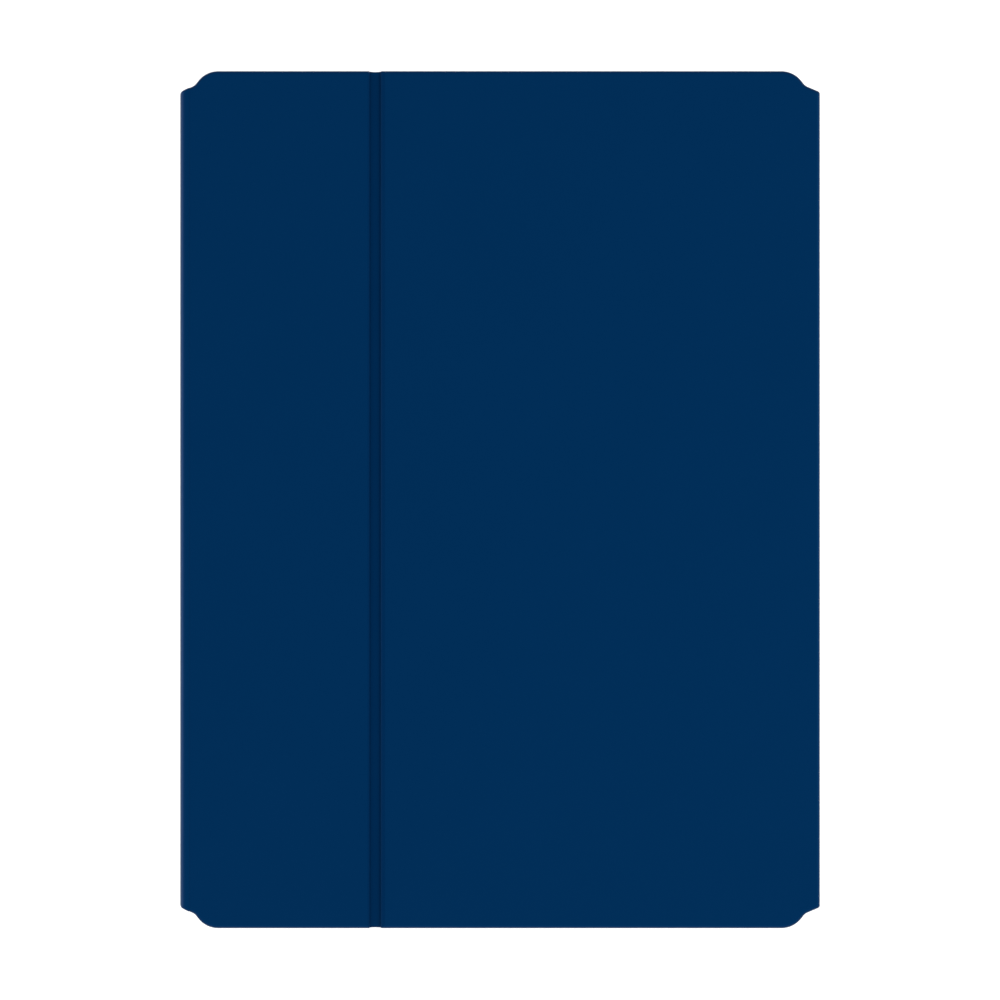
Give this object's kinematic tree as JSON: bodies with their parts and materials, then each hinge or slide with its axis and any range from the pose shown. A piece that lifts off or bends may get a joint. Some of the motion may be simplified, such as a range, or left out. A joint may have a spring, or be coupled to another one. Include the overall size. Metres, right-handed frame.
{
  "type": "tablet keyboard case",
  "caption": "Folio case for a large tablet: leather covers that fold to a stand, a snap-in shell and a magnetic keyboard.",
  "frame": {"origin": "centre of the closed case's footprint, at its underside", "axes": "+X from the spine to the free edge, +Y along the spine towards the tablet's camera end, +Z from the back cover to the front cover"},
  "size_m": [0.2328, 0.312, 0.02],
  "materials": {
    "leather": "matte, fine grain, deep navy",
    "board": "raw fibreboard",
    "microfibre": "soft short nap, navy",
    "shell_plastic": "fine matte",
    "trim_plastic": "satin",
    "magnet": "nickel plated",
    "keyboard_plastic": "fine matte",
    "steel": "satin",
    "membrane": "translucent film",
    "rubber": "matte",
    "battery_foil": "foil pouch",
    "circuit_board": "solder mask",
    "clear_lens": "frosted clear",
    "switch_plastic": "matte",
    "keycap": "fine matte"
  },
  "bodies": {
    "holder": {"back_cover_skin": "leather", "back_cover_board": "board", "closure_magnets_back": "magnet", "camera_trim_ring": "trim_plastic", "tablet_shell": "shell_plastic", "shell_pad": "microfibre", "spine_back_gusset": "leather"},
    "spine": {"spine_skin": "leather", "spine_board": "board", "spine_lining": "microfibre", "spine_front_gusset": "leather"},
    "front_small": {"front_small_skin": "leather", "front_small_board": "board", "front_small_lining": "microfibre", "front_fold_gusset": "leather"},
    "front_main": {"front_main_skin": "leather", "front_main_board": "board", "front_main_lining": "microfibre", "closure_magnets_front": "magnet", "keyboard_magnets": "magnet"},
    "keyboard": {"keyboard_top_deck": "keyboard_plastic", "keyboard_bottom_tray": "keyboard_plastic", "keyboard_screws": "steel", "switch_membrane": "membrane", "key_support_plate": "steel", "rubber_domes": "rubber", "battery": "battery_foil", "controller_board": "circuit_board", "usb_socket": "steel", "indicator_lenses": "clear_lens", "keyboard_bumpers": "rubber"},
    "power_switch": {"power_switch_slider": "switch_plastic"},
    "key_escape": {"key_escape": "keycap"},
    "key_backspace": {"key_backspace": "keycap"},
    "key_tab": {"key_tab": "keycap"},
    "key_caps_lock": {"key_caps_lock": "keycap"},
    "key_enter": {"key_enter": "keycap"},
    "key_shift_left": {"key_shift_left": "keycap"},
    "key_shift_right": {"key_shift_right": "keycap"},
    "key_function": {"key_function": "keycap"},
    "key_control": {"key_control": "keycap"},
    "key_option_left": {"key_option_left": "keycap"},
    "key_command_left": {"key_command_left": "keycap"},
    "key_space": {"key_space": "keycap"},
    "key_command_right": {"key_command_right": "keycap"},
    "key_option_right": {"key_option_right": "keycap"},
    "key_arrow_left": {"key_arrow_left": "keycap"},
    "key_arrow_up": {"key_arrow_up": "keycap"},
    "key_arrow_down": {"key_arrow_down": "keycap"},
    "key_arrow_right": {"key_arrow_right": "keycap"},
    "function_row": {"function_row_keys": "keycap"},
    "number_row": {"number_row_keys": "keycap"},
    "upper_row": {"upper_row_keys": "keycap"},
    "home_row": {"home_row_keys": "keycap"},
    "lower_row": {"lower_row_keys": "keycap"}
  },
  "joints": [
    {"name": "spine_back_fold", "type": "hinge", "parent": "holder", "child": "spine", "pos_m": [-0.11536, 0, 0.00099], "axis": [0, -1, 0], "range_deg": [0, 207.6], "deforming": ["spine_back_gusset"]},
    {"name": "spine_front_fold", "type": "hinge", "parent": "spine", "child": "front_small", "pos_m": [-0.11536, 0, 0.01901], "axis": [0, -1, 0], "range_deg": [0, 90], "deforming": ["spine_front_gusset"]},
    {"name": "front_cover_fold", "type": "hinge", "parent": "front_small", "child": "front_main", "pos_m": [-0.0456, 0, 0.019], "axis": [0, -1, 0], "range_deg": [0, 90], "deforming": ["front_fold_gusset"]},
    {"name": "keyboard_release", "type": "slide", "parent": "front_main", "child": "keyboard", "axis": [0, 1, 0], "range_m": [0, 0.31]},
    {"name": "power_switch_slide", "type": "slide", "parent": "keyboard", "child": "power_switch", "axis": [1, 0, 0], "range_m": [0, 0.0025]},
    {"name": "press_escape", "type": "slide", "parent": "keyboard", "child": "key_escape", "axis": [0, 0, 1], "range_m": [0, 0.0014], "stiffness_N_per_m": 450},
    {"name": "press_backspace", "type": "slide", "parent": "keyboard", "child": "key_backspace", "axis": [0, 0, 1], "range_m": [0, 0.0014], "stiffness_N_per_m": 450},
    {"name": "press_tab", "type": "slide", "parent": "keyboard", "child": "key_tab", "axis": [0, 0, 1], "range_m": [0, 0.0014], "stiffness_N_per_m": 450},
    {"name": "press_caps_lock", "type": "slide", "parent": "keyboard", "child": "key_caps_lock", "axis": [0, 0, 1], "range_m": [0, 0.0014], "stiffness_N_per_m": 450},
    {"name": "press_enter", "type": "slide", "parent": "keyboard", "child": "key_enter", "axis": [0, 0, 1], "range_m": [0, 0.0014], "stiffness_N_per_m": 450},
    {"name": "press_shift_left", "type": "slide", "parent": "keyboard", "child": "key_shift_left", "axis": [0, 0, 1], "range_m": [0, 0.0014], "stiffness_N_per_m": 450},
    {"name": "press_shift_right", "type": "slide", "parent": "keyboard", "child": "key_shift_right", "axis": [0, 0, 1], "range_m": [0, 0.0014], "stiffness_N_per_m": 450},
    {"name": "press_function", "type": "slide", "parent": "keyboard", "child": "key_function", "axis": [0, 0, 1], "range_m": [0, 0.0014], "stiffness_N_per_m": 450},
    {"name": "press_control", "type": "slide", "parent": "keyboard", "child": "key_control", "axis": [0, 0, 1], "range_m": [0, 0.0014], "stiffness_N_per_m": 450},
    {"name": "press_option_left", "type": "slide", "parent": "keyboard", "child": "key_option_left", "axis": [0, 0, 1], "range_m": [0, 0.0014], "stiffness_N_per_m": 450},
    {"name": "press_command_left", "type": "slide", "parent": "keyboard", "child": "key_command_left", "axis": [0, 0, 1], "range_m": [0, 0.0014], "stiffness_N_per_m": 450},
    {"name": "press_space", "type": "slide", "parent": "keyboard", "child": "key_space", "axis": [0, 0, 1], "range_m": [0, 0.0014], "stiffness_N_per_m": 450},
    {"name": "press_command_right", "type": "slide", "parent": "keyboard", "child": "key_command_right", "axis": [0, 0, 1], "range_m": [0, 0.0014], "stiffness_N_per_m": 450},
    {"name": "press_option_right", "type": "slide", "parent": "keyboard", "child": "key_option_right", "axis": [0, 0, 1], "range_m": [0, 0.0014], "stiffness_N_per_m": 450},
    {"name": "press_arrow_left", "type": "slide", "parent": "keyboard", "child": "key_arrow_left", "axis": [0, 0, 1], "range_m": [0, 0.0014], "stiffness_N_per_m": 450},
    {"name": "press_arrow_up", "type": "slide", "parent": "keyboard", "child": "key_arrow_up", "axis": [0, 0, 1], "range_m": [0, 0.0014], "stiffness_N_per_m": 450},
    {"name": "press_arrow_down", "type": "slide", "parent": "keyboard", "child": "key_arrow_down", "axis": [0, 0, 1], "range_m": [0, 0.0014], "stiffness_N_per_m": 450},
    {"name": "press_arrow_right", "type": "slide", "parent": "keyboard", "child": "key_arrow_right", "axis": [0, 0, 1], "range_m": [0, 0.0014], "stiffness_N_per_m": 450},
    {"name": "press_function_row", "type": "slide", "parent": "keyboard", "child": "function_row", "axis": [0, 0, 1], "range_m": [0, 0.0014], "stiffness_N_per_m": 2000},
    {"name": "press_number_row", "type": "slide", "parent": "keyboard", "child": "number_row", "axis": [0, 0, 1], "range_m": [0, 0.0014], "stiffness_N_per_m": 2000},
    {"name": "press_upper_row", "type": "slide", "parent": "keyboard", "child": "upper_row", "axis": [0, 0, 1], "range_m": [0, 0.0014], "stiffness_N_per_m": 2000},
    {"name": "press_home_row", "type": "slide", "parent": "keyboard", "child": "home_row", "axis": [0, 0, 1], "range_m": [0, 0.0014], "stiffness_N_per_m": 2000},
    {"name": "press_lower_row", "type": "slide", "parent": "keyboard", "child": "lower_row", "axis": [0, 0, 1], "range_m": [0, 0.0014], "stiffness_N_per_m": 2000}
  ]
}
